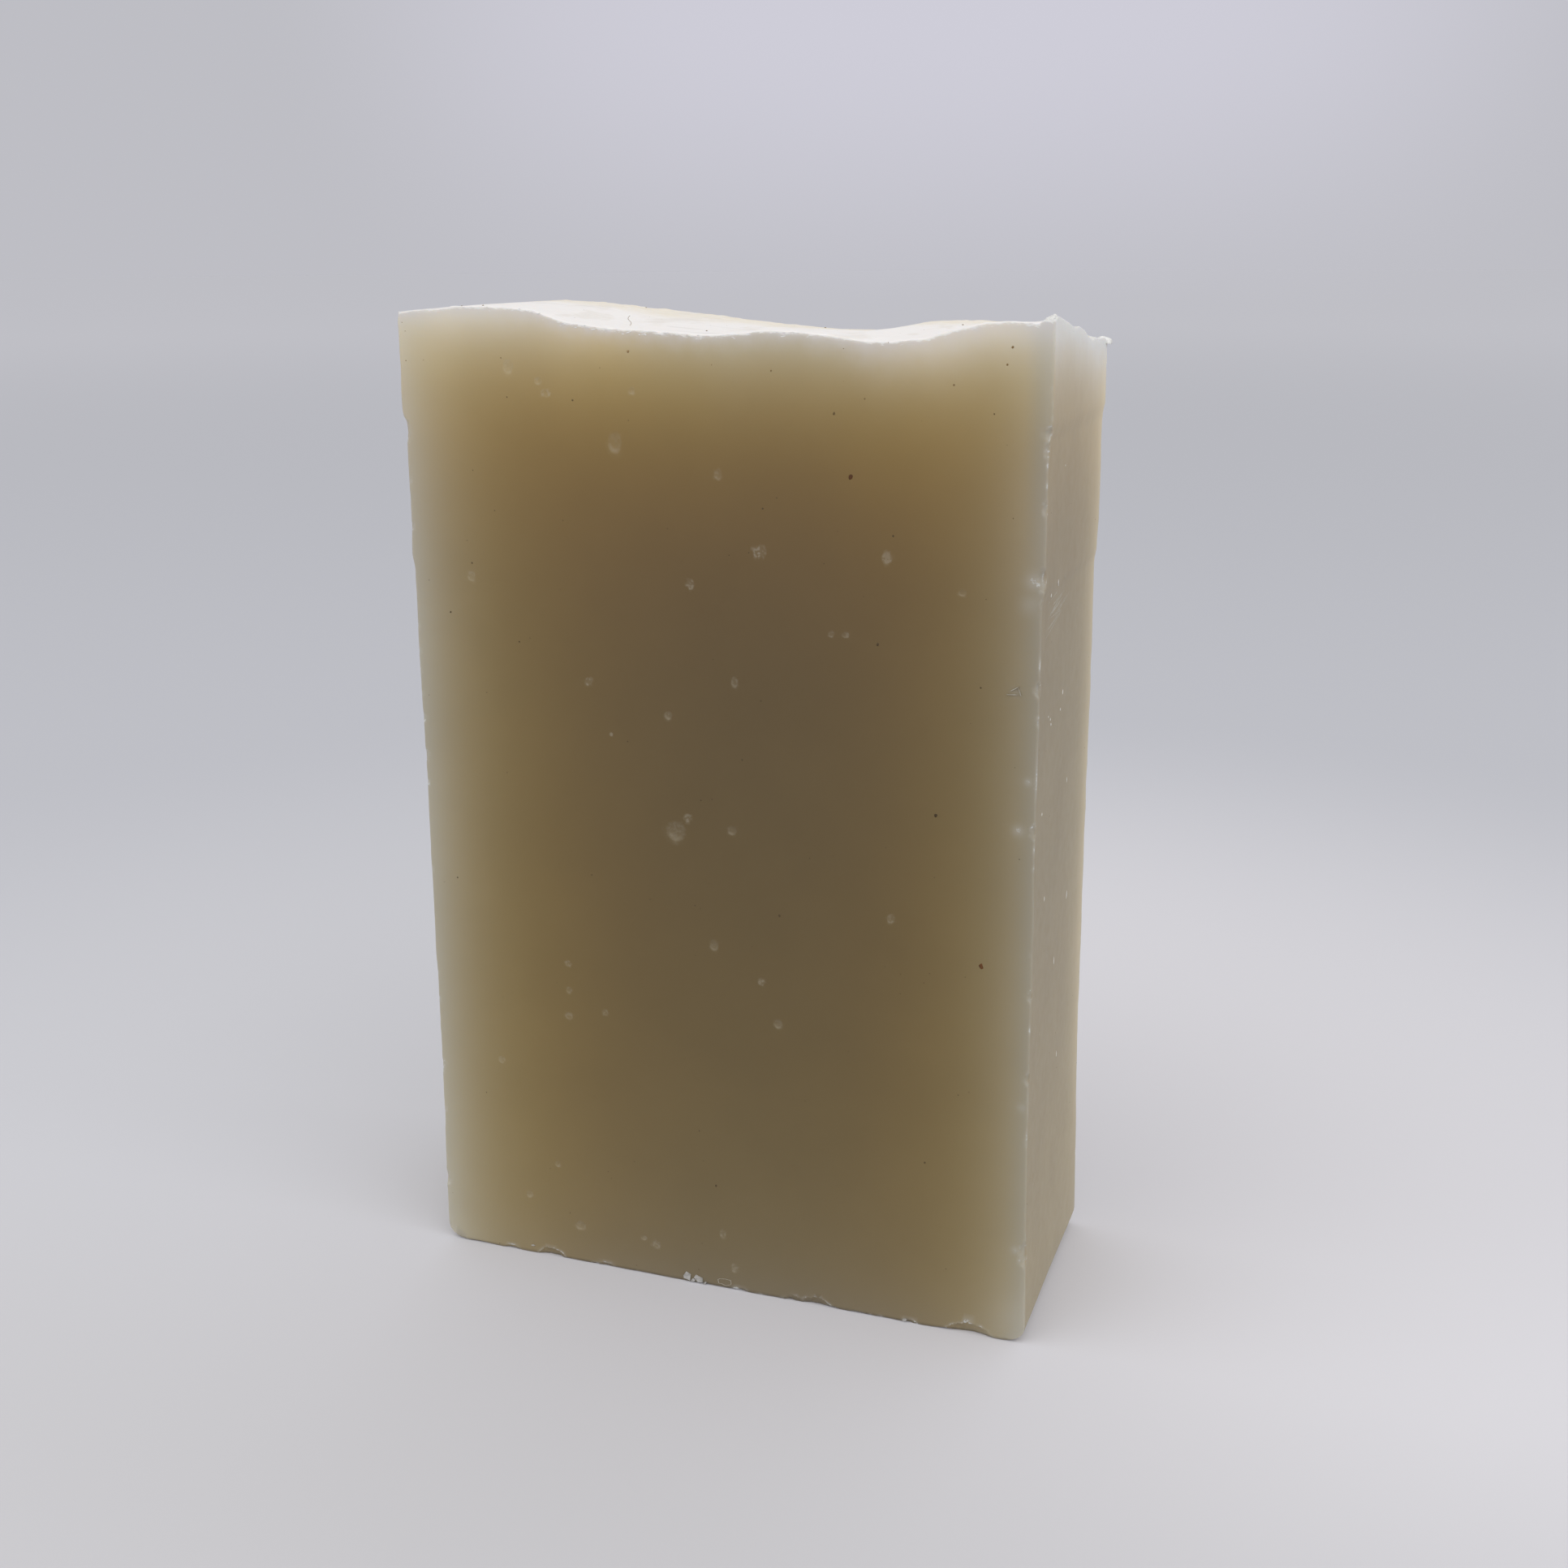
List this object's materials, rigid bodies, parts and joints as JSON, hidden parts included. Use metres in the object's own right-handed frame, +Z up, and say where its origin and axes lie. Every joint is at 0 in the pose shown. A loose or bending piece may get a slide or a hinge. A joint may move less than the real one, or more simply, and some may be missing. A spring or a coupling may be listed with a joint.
{
  "type": "bar of soap",
  "caption": "Hand-cut slab of cast soap standing on its narrow foot, with flat cut faces, a low wavy poured top and a torn top corner.",
  "frame": {"origin": "middle of the flat foot, the narrow face that the bar stands on", "axes": "+X across the bar from wall to wall, +Y through the slice from the front cut to the back cut, +Z up to the poured top"},
  "size_m": [0.0558, 0.0223, 0.0866],
  "materials": {
    "soap": "satin, translucent olive-brown soap, paler towards the edges, with a chalky off-white top"
  },
  "bodies": {
    "root": {"soap_bar": "soap"}
  },
  "joints": []
}
